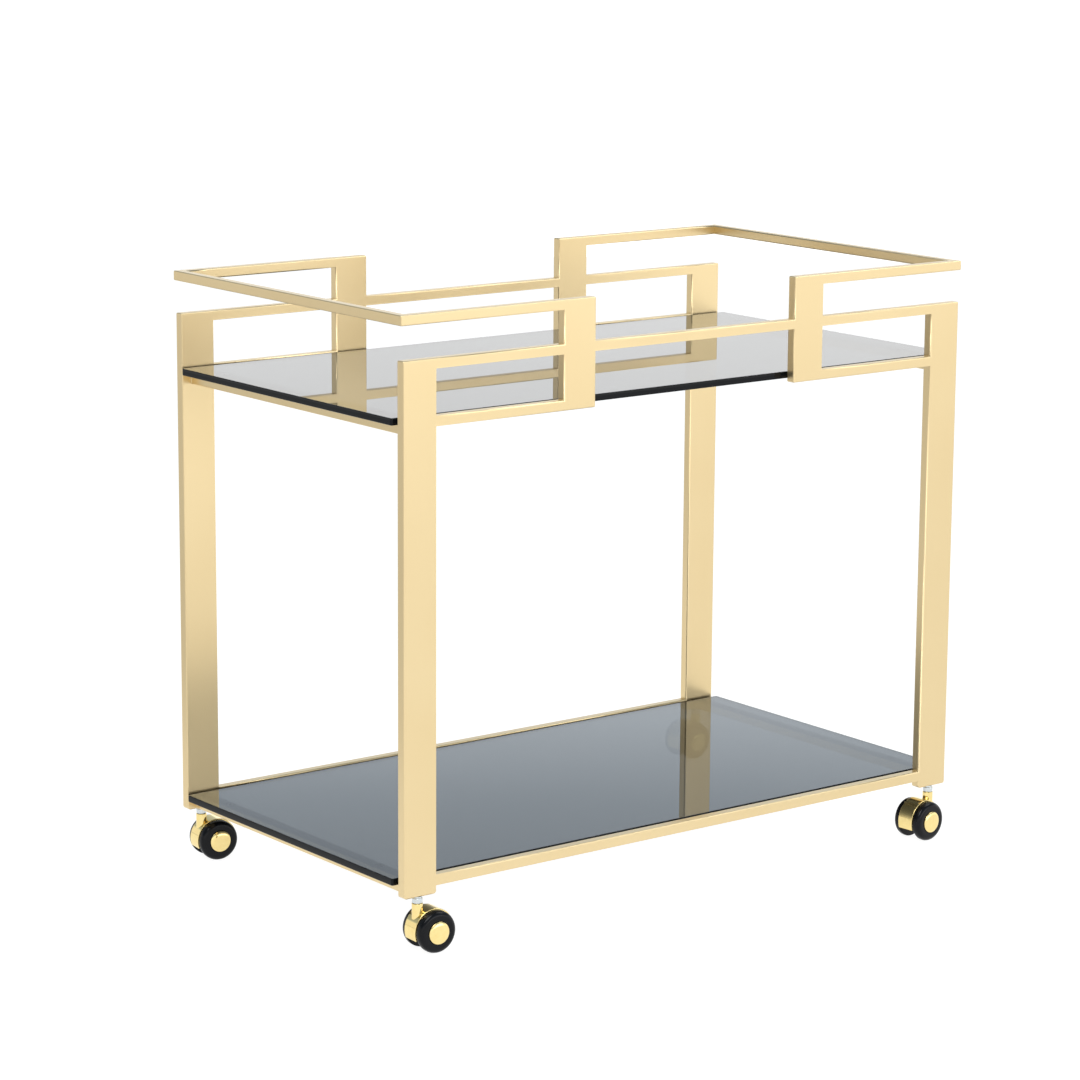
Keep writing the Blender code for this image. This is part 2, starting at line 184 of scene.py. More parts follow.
def ring_quads(rows: int, steps: int) -> np.ndarray:
    """The faces between the rows of a grid whose rows are closed rings."""
    index = np.arange(rows * steps).reshape(rows, steps)
    ahead = np.roll(index, -1, axis=1)
    return np.stack([index[:-1], index[1:], ahead[1:], ahead[:-1]], axis=-1).reshape(-1, 4)


def turned(profile: np.ndarray, steps: int) -> Skin:
    """Sweeps a profile round Z: (radius * cos a, radius * sin a, height) over an even fan of angles a.

    Args:
        profile: Rows of (radius, height) that start and end on the axis, where the surface closes in a pole.
        steps: How many times the profile is repeated round the axis.

    Returns:
        The turned surface.
    """
    angle = np.arange(steps) * (math.tau / steps)
    body = profile[1:-1]
    rings = np.empty((len(body), steps, 3))
    rings[..., 0] = body[:, None, 0] * np.cos(angle)
    rings[..., 1] = body[:, None, 0] * np.sin(angle)
    rings[..., 2] = body[:, None, 1]
    poles = np.array([[0.0, 0.0, profile[0, 1]], [0.0, 0.0, profile[-1, 1]]])
    count = len(body) * steps
    first = np.arange(steps)
    last = first + count - steps
    top = np.stack([first, np.roll(first, -1), np.full(steps, count)], axis=1)
    foot = np.stack([np.roll(last, -1), last, np.full(steps, count + 1)], axis=1)
    points = np.vstack([rings.reshape(-1, 3), poles])
    return Skin(points, [ring_quads(len(body), steps), top, foot]).outward()


def carried(outline: np.ndarray, stations: np.ndarray, sideways: np.ndarray, upward: np.ndarray) -> Skin:
    """Carries a closed outline along a path, with flat ends: station + side * sideways + up * upward.

    Args:
        outline: Rows of (side, up).
        stations: The path's points.
        sideways: The outline's first axis at each station, or one for all.
        upward: The outline's second axis at each station, or one for all.

    Returns:
        The swept surface.
    """
    sideways = np.broadcast_to(sideways, stations.shape)
    upward = np.broadcast_to(upward, stations.shape)
    rings = (
        stations[:, None, :]
        + outline[None, :, :1] * sideways[:, None, :]
        + outline[None, :, 1:] * upward[:, None, :]
    )
    return closed_stack(rings)


def closed_stack(rings: np.ndarray) -> Skin:
    """Joins a stack of closed rings, and closes the first and the last with a flat face.

    Args:
        rings: An array of rings x points x 3.

    Returns:
        The closed surface, its flat ends last.
    """
    rows, steps = rings.shape[:2]
    start = np.arange(steps)[None, :]
    end = np.arange((rows - 1) * steps, rows * steps)[None, ::-1]
    return Skin(rings.reshape(-1, 3), [ring_quads(rows, steps), start, end]).outward()


def slab(
    size: tuple[float, float], corner: float, layers: np.ndarray, centre: tuple[float, float], steps: int = 8
) -> Skin:
    """A flat slab whose rim follows a profile: each layer is the plan's outline drawn in by its inset.

    Args:
        size: The plan's full width and depth.
        corner: The radius of the plan's corners.
        layers: Rows of (inset, height) from the top face down to the bottom face.
        centre: The plan's middle.
        steps: Chords in each corner.

    Returns:
        The slab, its top and bottom faces last.
    """
    rings = np.empty((len(layers), 4 * (steps + 3), 3))
    for row, (inset, height) in enumerate(layers):
        plan = rounded_rectangle(size[0] - 2 * inset, size[1] - 2 * inset, corner - inset, steps)
        rings[row, :, :2] = plan + centre
        rings[row, :, 2] = height
    return closed_stack(rings)


# ---------------------------------------------------------------- meshes and pieces


def mesh_of(name: str, skin: Skin, smooth_deg: float = SMOOTH_DEG) -> bpy.types.Mesh:
    """A mesh with a surface's points and faces.

    Args:
        name: The mesh's name.
        skin: The surface.
        smooth_deg: Faces that meet at less than this angle are shaded as one, apart from flat ends.

    Returns:
        The mesh.
    """
    mesh = bpy.data.meshes.new(name)
    faces = [row for block in skin.faces for row in block.tolist()]
    mesh.from_pydata(skin.points.tolist(), [], faces)
    mesh.shade_smooth()
    mesh.set_sharp_from_angle(angle=math.radians(smooth_deg))
    corners = np.empty(len(mesh.polygons), np.int32)
    mesh.polygons.foreach_get("loop_total", corners)
    mesh.polygons.foreach_set("use_smooth", corners <= 4)
    return mesh


def set_grain(mesh: bpy.types.Mesh, directions: np.ndarray) -> None:
    """Stores the brushing direction of each face as the attribute "grain".

    Args:
        mesh: The mesh to mark.
        directions: One direction for all faces, or a row for each.
    """
    rows = np.broadcast_to(directions, (len(mesh.polygons), 3)).astype(np.float32)
    grain = mesh.attributes.new("grain", "FLOAT_VECTOR", "FACE")
    grain.data.foreach_set("vector", rows.ravel())


def fused(name: str, skins: list[Skin]) -> bpy.types.Mesh:
    """The union of several overlapping surfaces, as one closed mesh.

    Args:
        name: The mesh's name.
        skins: The surfaces, each closed.

    Returns:
        The union's mesh.
    """
    shapes = [bpy.data.objects.new(f"{name}_{i}", mesh_of(name, skin)) for i, skin in enumerate(skins)]
    for shape in shapes:
        bpy.context.scene.collection.objects.link(shape)
    for other in shapes[1:]:
        union = shapes[0].modifiers.new("Union", "BOOLEAN")
        union.operation = "UNION"
        union.solver = "EXACT"
        union.object = other
    bpy.context.view_layer.update()
    graph = bpy.context.evaluated_depsgraph_get()
    mesh = bpy.data.meshes.new_from_object(shapes[0].evaluated_get(graph), depsgraph=graph)
    mesh.name = name
    mesh.shade_smooth()
    mesh.set_sharp_from_angle(angle=math.radians(FUSED_SMOOTH_DEG))
    for shape in shapes:
        bpy.data.objects.remove(shape, do_unlink=True)
    return mesh


def add_piece(
    name: str,
    mesh: bpy.types.Mesh,
    finishes: list[bpy.types.Material],
    body: str,
    replaces: tuple[str, ...] = (),
) -> bpy.types.Object:
    """Puts a mesh into the scene as a finished piece that rides on a body of the frame.

    Args:
        name: The piece's name.
        mesh: Its mesh, in place.
        finishes: Its materials, in the order of its material indices.
        body: The body that it moves with.
        replaces: The CAD nodes that it stands for.

    Returns:
        The new object.
    """
    piece = bpy.data.objects.new(name, mesh)
    mesh.materials.clear()
    for finish in finishes:
        mesh.materials.append(finish)
    bpy.context.scene.collection.objects.link(piece)
    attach(piece, body)
    if replaces:
        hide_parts(*replaces)
    LOG.info("%s: %d faces on %s, for %d nodes", name, len(mesh.polygons), body, len(replaces))
    return piece


# ---------------------------------------------------------------- finishes


def linear(hex_colour: str) -> tuple[float, float, float, float]:
    """An sRGB hex colour as linear RGBA: c / 12.92 up to 0.04045, else ((c + 0.055) / 1.055) ^ 2.4."""
    values = [int(hex_colour[i : i + 2], 16) / 255 for i in (1, 3, 5)]
    red, green, blue = (c / 12.92 if c <= 0.04045 else ((c + 0.055) / 1.055) ** 2.4 for c in values)
    return red, green, blue, 1.0


def add_node(tree: bpy.types.NodeTree, kind: str, settings: dict | None = None, **links) -> bpy.types.Node:
    """Adds one node with its settings and its inputs.

    Args:
        tree: The node tree.
        kind: The node's type.
        settings: Properties of the node.
        **links: Inputs by name, with _ for a space, each a value or another node's socket. A name
            that ends in _ and a number picks the input by its number.

    Returns:
        The new node.
    """
    node = tree.nodes.new(kind)
    for key, value in (settings or {}).items():
        setattr(node, key, value)
    for key, value in links.items():
        number = key.rpartition("_")[2]
        socket = node.inputs[int(number)] if number.isdigit() else node.inputs[key.replace("_", " ")]
        if isinstance(value, bpy.types.NodeSocket):
            tree.links.new(value, socket)
        else:
            socket.default_value = value
    return node


def new_material(name: str, **constants) -> bpy.types.Material:
    """A material with a Principled shader whose constant sockets are set directly.

    Args:
        name: The material's name.
        **constants: Values by socket name, with _ for a space.

    Returns:
        The material.
    """
    material = bpy.data.materials.new(name)
    material.use_nodes = True
    shader = material.node_tree.nodes["Principled BSDF"]
    for key, value in constants.items():
        shader.inputs[key.replace("_", " ")].default_value = value
    return material


def vary(
    tree: bpy.types.NodeTree,
    marks: bpy.types.NodeSocket,
    drift: bpy.types.NodeSocket,
    colours: tuple[str, str],
    roughness: tuple[float, float],
    depth: float,
    strength: float = 0.2,
) -> None:
    """Lets a fine pattern drive a finish's roughness and relief, and a slow one its colour.

    Args:
        tree: The material's node tree.
        marks: The fine pattern, which lies mostly between 0.3 and 0.7.
        drift: The slow pattern.
        colours: The hex colours at the ends of the drift.
        roughness: The roughness at the ends of the marks.
        depth: How deep the marks are, in metres.
        strength: How much of that depth shows.
    """
    shader = tree.nodes["Principled BSDF"]
    first, second = (linear(colour) for colour in colours)
    mix = add_node(tree, "ShaderNodeMix", {"data_type": "RGBA"}, Factor=drift, in_6=first, in_7=second)
    tree.links.new(mix.outputs[2], shader.inputs["Base Color"])
    relief = add_node(tree, "ShaderNodeBump", Height=marks, Strength=strength, Distance=depth)
    tree.links.new(relief.outputs["Normal"], shader.inputs["Normal"])
    low, high = roughness
    gloss = add_node(
        tree, "ShaderNodeMapRange", Value=marks, From_Min=0.3, From_Max=0.7, To_Min=low, To_Max=high
    )
    tree.links.new(gloss.outputs[0], shader.inputs["Roughness"])


@dataclass(frozen=True)
class SatinGoldPlating:
    """Champagne-gold titanium nitride on brushed steel tube.

    The brushing leaves fine lines along each bar, which spread highlights across it. It is a soft, warm
    metal that mirrors its neighbours faintly, with slow drifts of tone from the plating bath.
    """

    colours: tuple[str, str] = ("#E0CB9F", "#DBC496")
    roughness: tuple[float, float] = (0.28, 0.31)
    line_width: float = 0.5 * MM  # real lines are 0.1 mm wide, too fine to show
    line_stretch: float = 60.0
    drift_size: float = 120 * MM
    line_depth: float = 0.01 * MM
    line_relief: float = 0.06  # the share of the depth that plating leaves

    def material(self) -> bpy.types.Material:
        """Builds the material.

        The lines' pattern is drawn out along each bar: p - g * (p . g) * (1 - 1 / stretch), where p is
        the place and g the bar's grain.

        Returns:
            The material.
        """
        material = new_material("satin_gold_plated_brushed_steel", Metallic=1.0)
        tree = material.node_tree
        place = add_node(tree, "ShaderNodeTexCoord").outputs["Object"]
        grain = add_node(tree, "ShaderNodeAttribute", {"attribute_name": "grain"}).outputs["Vector"]
        along = add_node(tree, "ShaderNodeVectorMath", {"operation": "DOT_PRODUCT"}, in_0=place, in_1=grain)
        share = add_node(
            tree,
            "ShaderNodeMath",
            {"operation": "MULTIPLY"},
            in_0=along.outputs["Value"],
            in_1=1 - 1 / self.line_stretch,
        )
        shift = add_node(
            tree, "ShaderNodeVectorMath", {"operation": "SCALE"}, in_0=grain, Scale=share.outputs[0]
        )
        drawn = add_node(
            tree, "ShaderNodeVectorMath", {"operation": "SUBTRACT"}, in_0=place, in_1=shift.outputs[0]
        )
        lines = add_node(
            tree, "ShaderNodeTexNoise", Vector=drawn.outputs[0], Scale=1 / self.line_width, Detail=3.0
        )
        drift = add_node(tree, "ShaderNodeTexNoise", Vector=place, Scale=1 / self.drift_size, Detail=1.0)
        pattern = (lines.outputs[0], drift.outputs[0])
        vary(tree, *pattern, self.colours, self.roughness, self.line_depth, self.line_relief)
        return material


@dataclass(frozen=True)
class BrightGoldPlating:
    """Polished gold plating on zinc die castings.

    A near mirror: it shows dark overhead and bright at the horizon, broken a little by polishing haze.
    """

    colours: tuple[str, str] = ("#F4E0A0", "#EBD08A")
    roughness: tuple[float, float] = (0.04, 0.09)
    haze_size: float = 6 * MM
    ripple_size: float = 2.5 * MM
    ripple_depth: float = 0.01 * MM

    def material(self) -> bpy.types.Material:
        """Builds the material."""
        material = new_material("polished_gold_plated_zinc_casting", Metallic=1.0)
        tree = material.node_tree
        place = add_node(tree, "ShaderNodeTexCoord").outputs["Object"]
        haze = add_node(tree, "ShaderNodeTexNoise", Vector=place, Scale=1 / self.haze_size)
        ripple = add_node(tree, "ShaderNodeTexNoise", Vector=place, Scale=1 / self.ripple_size, Detail=1.0)
        vary(tree, ripple.outputs[0], haze.outputs[0], self.colours, self.roughness, self.ripple_depth)
        return material


@dataclass(frozen=True)
class SmokedGlass:
    """Tempered smoked-grey float glass.

    It is sharp in reflection and dark grey in what shows through it. Tempering leaves a very slow wave in
    its faces, and handling leaves a trace of film.
    """

    tint: str = "#484C4E"
    ior: float = 1.52
    film: tuple[float, float] = (0.0, 0.015)
    film_size: float = 70 * MM
    wave_size: float = 260 * MM
    wave_depth: float = 0.05 * MM
    wave_relief: float = 0.02  # the share of the depth that shows

    def material(self) -> bpy.types.Material:
        """Builds the material."""
        material = new_material(
            "smoked_grey_tempered_float_glass",
            Base_Color=linear(self.tint),
            Transmission_Weight=1.0,
            IOR=self.ior,
        )
        tree = material.node_tree
        shader = tree.nodes["Principled BSDF"]
        place = add_node(tree, "ShaderNodeTexCoord").outputs["Object"]
        film = add_node(tree, "ShaderNodeTexNoise", Vector=place, Scale=1 / self.film_size)
        low, high = self.film
        haze = add_node(
            tree,
            "ShaderNodeMapRange",
            Value=film.outputs[0],
            From_Min=0.45,
            From_Max=0.7,
            To_Min=low,
            To_Max=high,
        )
        tree.links.new(haze.outputs[0], shader.inputs["Roughness"])
        wave = add_node(tree, "ShaderNodeTexNoise", Vector=place, Scale=1 / self.wave_size, Detail=0.0)
        relief = add_node(
            tree,
            "ShaderNodeBump",
            Height=wave.outputs[0],
            Strength=self.wave_relief,
            Distance=self.wave_depth,
        )
        tree.links.new(relief.outputs["Normal"], shader.inputs["Normal"])
        return material


@dataclass(frozen=True)
class PolishedGlassEdge:
    """The ground and polished edge of smoked glass.

    Seen along the pane, the tint adds up until the edge is nearly black, with a wet gloss and the
    faint lines of the grinding wheel along it.
    """

    colours: tuple[str, str] = ("#08090B", "#141618")
    roughness: tuple[float, float] = (0.06, 0.16)
    line_size: float = 0.6 * MM
    line_stretch: float = 50.0
    patch_size: float = 30 * MM
    line_depth: float = 0.01 * MM
    ior: float = 1.52
    gloss: float = 0.13

    def material(self) -> bpy.types.Material:
        """Builds the material."""
        material = new_material(
            "smoked_glass_ground_and_polished_edge", IOR=self.ior, Specular_IOR_Level=self.gloss
        )
        tree = material.node_tree
        place = add_node(tree, "ShaderNodeTexCoord").outputs["Object"]
        level = 1 / self.line_stretch
        drawn = add_node(tree, "ShaderNodeMapping", Vector=place, Scale=(level, level, 1.0))
        lines = add_node(tree, "ShaderNodeTexNoise", Vector=drawn.outputs[0], Scale=1 / self.line_size)
        patch = add_node(tree, "ShaderNodeTexNoise", Vector=place, Scale=1 / self.patch_size)
        vary(tree, lines.outputs[0], patch.outputs[0], self.colours, self.roughness, self.line_depth)
        return material


@dataclass(frozen=True)
class MouldedNylon:
    """Black injection-moulded nylon.

    Glossy from a polished mould, so it shows a clear streak of light on its shoulder, with a slight
    orange peel where it shrank.
    """

    colours: tuple[str, str] = ("#030406", "#08090E")
    roughness: tuple[float, float] = (0.12, 0.18)
    cast_size: float = 8 * MM
    peel_size: float = 1.5 * MM
    peel_depth: float = 0.01 * MM
    ior: float = 1.53
    gloss: float = 0.18

    def material(self) -> bpy.types.Material:
        """Builds the material."""
        material = new_material("black_injection_moulded_nylon", IOR=self.ior, Specular_IOR_Level=self.gloss)
        tree = material.node_tree
        place = add_node(tree, "ShaderNodeTexCoord").outputs["Object"]
        peel = add_node(tree, "ShaderNodeTexNoise", Vector=place, Scale=1 / self.peel_size)
        cast = add_node(tree, "ShaderNodeTexNoise", Vector=place, Scale=1 / self.cast_size)
        vary(tree, peel.outputs[0], cast.outputs[0], self.colours, self.roughness, self.peel_depth)
        return material


@dataclass(frozen=True)
class ZincPlating:
    """Bright blue-passivated zinc on a turned steel stem.

    Silvery with a cool cast that drifts, and the fine rings that turning leaves.
    """

    colours: tuple[str, str] = ("#BFCBD6", "#D9D8D0")
    roughness: tuple[float, float] = (0.16, 0.30)
    ring_size: float = 0.3 * MM
    ring_stretch: float = 20.0
    cast_size: float = 5 * MM
    ring_depth: float = 0.01 * MM

    def material(self) -> bpy.types.Material:
        """Builds the material."""
        material = new_material("blue_passivated_zinc_plated_turned_steel", Metallic=1.0)
        tree = material.node_tree
        place = add_node(tree, "ShaderNodeTexCoord").outputs["Object"]
        level = 1 / self.ring_stretch
        drawn = add_node(tree, "ShaderNodeMapping", Vector=place, Scale=(level, level, 1.0))
        rings = add_node(tree, "ShaderNodeTexNoise", Vector=drawn.outputs[0], Scale=1 / self.ring_size)
        cast = add_node(tree, "ShaderNodeTexNoise", Vector=place, Scale=1 / self.cast_size)
        vary(tree, rings.outputs[0], cast.outputs[0], self.colours, self.roughness, self.ring_depth)
        return material


@dataclass(frozen=True)
class GroundSteel:
    """Centreless-ground steel: an even grey metal with very fine scratches."""

    colours: tuple[str, str] = ("#8E9093", "#A9ABAE")
    roughness: tuple[float, float] = (0.22, 0.34)
    cast_size: float = 4 * MM
    scratch_size: float = 0.4 * MM
    scratch_depth: float = 0.01 * MM

    def material(self) -> bpy.types.Material:
        """Builds the material."""
        material = new_material("centreless_ground_steel", Metallic=1.0)
        tree = material.node_tree
        place = add_node(tree, "ShaderNodeTexCoord").outputs["Object"]
        scratch = add_node(tree, "ShaderNodeTexNoise", Vector=place, Scale=1 / self.scratch_size)
        cast = add_node(tree, "ShaderNodeTexNoise", Vector=place, Scale=1 / self.cast_size)
        vary(tree, scratch.outputs[0], cast.outputs[0], self.colours, self.roughness, self.scratch_depth)
        return material


@dataclass(frozen=True)
class ClearSilicone:
    """Cast clear silicone: soft, slightly milky, with a satin skin."""

    colours: tuple[str, str] = ("#EDEFEA", "#E2E6E2")
    roughness: tuple[float, float] = (0.25, 0.40)
    cloud_size: float = 4.0 * MM
    skin_size: float = 1.0 * MM
    skin_depth: float = 0.01 * MM
    clearness: float = 0.9
    ior: float = 1.41

    def material(self) -> bpy.types.Material:
        """Builds the material."""
        material = new_material("clear_cast_silicone", Transmission_Weight=self.clearness, IOR=self.ior)
        tree = material.node_tree
        place = add_node(tree, "ShaderNodeTexCoord").outputs["Object"]
        skin = add_node(tree, "ShaderNodeTexNoise", Vector=place, Scale=1 / self.skin_size)
        cloud = add_node(tree, "ShaderNodeTexNoise", Vector=place, Scale=1 / self.cloud_size)
        vary(tree, skin.outputs[0], cloud.outputs[0], self.colours, self.roughness, self.skin_depth)
        return material


@dataclass
class Finishes:
    """One material of each kind, made once and shared by all pieces."""

    def __post_init__(self) -> None:
        """Builds the materials."""
        self.satin_gold = SatinGoldPlating().material()
        self.bright_gold = BrightGoldPlating().material()
        self.glass = SmokedGlass().material()
        self.glass_edge = PolishedGlassEdge().material()
        self.nylon = MouldedNylon().material()
        self.zinc = ZincPlating().material()
        self.steel = GroundSteel().material()
        self.silicone = ClearSilicone().material()


# ---------------------------------------------------------------- the welded frame


@dataclass
class WeldedFrame:
    """Both flat frames and the gallery between them, welded and polished until no seam shows.

    The bars are filled into a grid of cells, whose planes are the bars' own faces. The frame's skin is
    every wall between a filled and an empty cell, so bars that meet share one flush face.
    """

    edge_round: float = 1.6 * MM
    foot_round: float = 4.5 * MM  # the corners of a leg's bottom end
    edge_segments: int = 4
    weld_reach: float = 0.5 * MM  # a bar that ends this near another's face is welded to it
    probe: float = 0.05 * MM  # how far from an edge the four cells round it are looked up

    def bars(self) -> tuple[list[str], np.ndarray, np.ndarray]:
        """The frame's bars, with the ends of the lying ones snapped to the faces that they are welded to.

        Returns:
            The nodes, the box of each as (low, high), and the direction that each was brushed in.
        """
        names: list[str] = []
        grains: list[tuple[float, float, float]] = []
        for face in ("front", "back"):
            names += [f"mid_rail_{face}_{part}" for part in ("left", "centre", "right")]
            names.append(f"bottom_rail_{face}")
        names += [f"{kind}_{corner}" for kind in ("shelf_rail", "gallery_bar") for corner in CORNERS]
        grains += [Grain.ALONG_X.value] * len(names)
        names += [f"gallery_end_{side}" for side in SIDES]
        grains += [Grain.ALONG_Y.value] * len(SIDES)
        uprights = [f"{kind}_{corner}" for kind in ("leg", "post") for corner in CORNERS]
        grains += [Grain.ALONG_Z.value] * len(uprights)
        names += uprights
        boxes = np.array([[list(corner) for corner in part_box(name)] for name in names])
        ends = [f"gallery_end_{side}" for side in SIDES]
        stops = boxes[[names.index(name) for name in (*uprights, *ends)]]
        for axis in range(3):
            planes = np.unique(np.round(stops[..., axis], 5))
            values = np.round(boxes[..., axis], 5)
            nearest = planes[np.abs(values[..., None] - planes).argmin(axis=-1)]
            boxes[..., axis] = np.where(np.abs(nearest - values) < self.weld_reach, nearest, values)
        return names, boxes, np.array(grains)

    @staticmethod
    def fill(planes: list[np.ndarray], boxes: np.ndarray) -> np.ndarray:
        """Writes each bar's number into the cells that it fills, later bars over earlier ones.

        Args:
            planes: The grid's planes along X, Y and Z.
            boxes: The bars' boxes.

        Returns:
            The grid of numbers, with -1 in an empty cell.
        """
        middles = [(row[:-1] + row[1:]) / 2 for row in planes]
        owner = np.full([len(row) for row in middles], -1)
        for number, (low, high) in enumerate(boxes):
            inside = [(row > low[axis]) & (row < high[axis]) for axis, row in enumerate(middles)]
            owner[np.ix_(*inside)] = number
        return owner

    @staticmethod
    def walls(owner: np.ndarray) -> tuple[np.ndarray, np.ndarray]:
        """The walls between filled and empty cells.

        A wall on the high side of a cell along one axis has the corners (0, 0), (1, 0), (1, 1) and
        (0, 1) along the next two axes, and one on the low side has them in reverse, so all face out.

        Args:
            owner: The grid of bar numbers.

        Returns:
            The walls as corner indices into the grid of planes, walls x 4 x 3, and each wall's bar.
        """
        framed = np.pad(owner, 1, constant_values=-1)
        square = np.array([(0, 0), (1, 0), (1, 1), (0, 1)])
        corners, owners = [], []
        for axis in range(3):
            for high in (0, 1):
                beside = np.roll(framed, 1 - 2 * high, axis=axis)[1:-1, 1:-1, 1:-1]
                cells = np.argwhere((owner >= 0) & (beside < 0))
                quad = np.zeros((4, 3), int)
                quad[:, axis] = high
                quad[:, (axis + 1) % 3] = square[:, 0]
                quad[:, (axis + 2) % 3] = square[:, 1]
                corners.append(cells[:, None, :] + (quad if high else quad[::-1]))
                owners.append(owner[tuple(cells.T)])
        return np.concatenate(corners), np.concatenate(owners)

    def edge_kinds(
        self, mesh: bpy.types.Mesh, planes: list[np.ndarray], owner: np.ndarray
    ) -> tuple[np.ndarray, np.ndarray]:
        """How much each edge is rounded, and whether it is an inner corner.

        An edge with one filled cell out of the four round it stands out and is rounded. One with three
        is an inner corner, which stays sharp.

        Args:
            mesh: The frame's mesh.
            planes: The grid's planes.
            owner: The grid of bar numbers.

        Returns:
            The bevel weight and the sharpness of each edge.
        """
        pairs = np.empty(len(mesh.edges) * 2, np.int32)
        mesh.edges.foreach_get("vertices", pairs)
        points = np.empty(len(mesh.vertices) * 3, np.float32)
        mesh.vertices.foreach_get("co", points)
        ends = points.reshape(-1, 3)[pairs.reshape(-1, 2)].astype(float)
        middle = ends.mean(axis=1)
        along = np.abs(ends[:, 1] - ends[:, 0]).argmax(axis=1)
        framed = np.pad(owner, 1, constant_values=-1)
        filled = np.zeros(len(middle), int)
        rows = np.arange(len(middle))
        step = self.probe
        for one, two in ((-step, -step), (-step, step), (step, -step), (step, step)):
            place = middle.copy()
            place[rows, (along + 1) % 3] += one
            place[rows, (along + 2) % 3] += two
            cell = tuple(np.searchsorted(planes[axis], place[:, axis]) for axis in range(3))
            filled += framed[cell] >= 0
        foot = (along == 1) & (middle[:, 2] < planes[2][0] + step)
        weight = np.where(filled == 1, np.where(foot, 1.0, self.edge_round / self.foot_round), 0.0)
        return weight, filled == 3

    def build(self, finishes: Finishes) -> None:
        """Builds the frame's skin, rounds its edges and dresses it.

        Args:
            finishes: The materials to choose from.
        """
        names, boxes, grains = self.bars()
        planes = [np.unique(boxes[..., axis]) for axis in range(3)]
        owner = self.fill(planes, boxes)
        corners, owners = self.walls(owner)
        used, faces = np.unique(corners.reshape(-1, 3), axis=0, return_inverse=True)
        points = np.stack([planes[axis][used[:, axis]] for axis in range(3)], axis=1)
        mesh = mesh_of("welded_frame", Skin(points, [faces.reshape(-1, 4)]), smooth_deg=180.0)
        set_grain(mesh, grains[owners])
        weight, sharp = self.edge_kinds(mesh, planes, owner)
        weights = mesh.attributes.new("bevel_weight_edge", "FLOAT", "EDGE")
        weights.data.foreach_set("value", weight.astype(np.float32))
        mesh.attributes.new("sharp_edge", "BOOLEAN", "EDGE").data.foreach_set("value", sharp)
        frame = add_piece("welded_frame", mesh, [finishes.satin_gold], "cart", tuple(names))
        bevel = frame.modifiers.new("Ground edges", "BEVEL")
        bevel.width = self.foot_round
        bevel.segments = self.edge_segments
        bevel.limit_method = "WEIGHT"
        bevel.use_clamp_overlap = False
        bevel.harden_normals = True


@dataclass
class CrossRail:
    """A flat tube from a front leg to a back leg, under the end of a shelf, with its weld at each end."""

    level: str
    side: str
    edge_round: float = 1.6 * MM
    edge_steps: int = 5
    bead: float = 1.1 * MM  # radius of the weld bead
    bead_sink: float = 0.35  # how deep the bead's middle lies in the tube, as a share of its radius
    bead_points: int = 12
    bead_stations: int = 96
    ripple: float = 0.1  # how much the bead swells, as a share of its radius
    ripple_stations: int = 4  # from one ripple to the next
    reach: float = 0.4 * MM  # how far the tube runs into the legs

    def build(self, finishes: Finishes) -> None:
        """Builds the tube, carried along Y, and the beads, carried round its ends.

        Args:
            finishes: The materials to choose from.
        """
        name = f"cross_rail_{self.level}_{self.side}"
        low, high = (np.array(corner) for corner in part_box(name))
        middle = (low + high) / 2
        width, height = high[0] - low[0], high[2] - low[2]
        outline = rounded_rectangle(width, height, self.edge_round, self.edge_steps)
        ends_y = (low[1] - self.reach, high[1] + self.reach)
        stations = np.array([[middle[0], end_y, middle[2]] for end_y in ends_y])
        across, upward = np.array([1.0, 0.0, 0.0]), np.array([0.0, 0.0, 1.0])
        mesh = mesh_of(name, carried(outline, stations, across, upward))
        set_grain(mesh, np.array(Grain.ALONG_Y.value))
        add_piece(f"{name}_tube", mesh, [finishes.satin_gold], "cart", (name,))
        for end, end_y in (("front", low[1]), ("back", high[1])):
            bead_mesh = mesh_of(f"{name}_weld", self.weld(width, height, middle, end_y))
            add_piece(f"{name}_weld_{end}", bead_mesh, [finishes.satin_gold], "cart")

    def weld(self, width: float, height: float, middle: np.ndarray, end_y: float) -> Skin:
        """A bead round the tube's end: a small circle carried round the tube's outline.

        The circle's radius swells and shrinks along the way, a ripple for each touch of the torch, and
        its middle lies a little under the tube's surface, at the leg's face.

        Args:
            width: The tube's width.
            height: The tube's height.
            middle: A point on the tube's axis.
            end_y: Where the tube ends.

        Returns:
            The ring-shaped bead.
        """
        inset = self.bead * self.bead_sink
        path = rounded_rectangle(width - 2 * inset, height - 2 * inset, self.edge_round - inset, 8)
        path = resampled(path, self.bead_stations)
        ahead = np.roll(path, -1, axis=0) - np.roll(path, 1, axis=0)
        ahead /= np.linalg.norm(ahead, axis=1)[:, None]
        outside = np.stack([ahead[:, 1], -ahead[:, 0]], axis=1)
        ripple = 1.0 + self.ripple * np.cos(np.arange(len(path)) * math.tau / self.ripple_stations)
        angle = np.arange(self.bead_points) * (math.tau / self.bead_points)
        radius = (self.bead * ripple)[:, None]
        side = radius * np.cos(angle)
        rings = np.empty((len(path), self.bead_points, 3))
        rings[..., 0] = middle[0] + path[:, None, 0] + side * outside[:, None, 0]
        rings[..., 2] = middle[2] + path[:, None, 1] + side * outside[:, None, 1]
        rings[..., 1] = end_y + radius * np.sin(angle)
        index = np.arange(rings.shape[0] * rings.shape[1]).reshape(rings.shape[:2])
        below = np.roll(index, -1, axis=0)
        quads = np.stack([index, below, np.roll(below, -1, axis=1), np.roll(index, -1, axis=1)], axis=-1)
        return Skin(rings.reshape(-1, 3), [quads.reshape(-1, 4)]).outward()


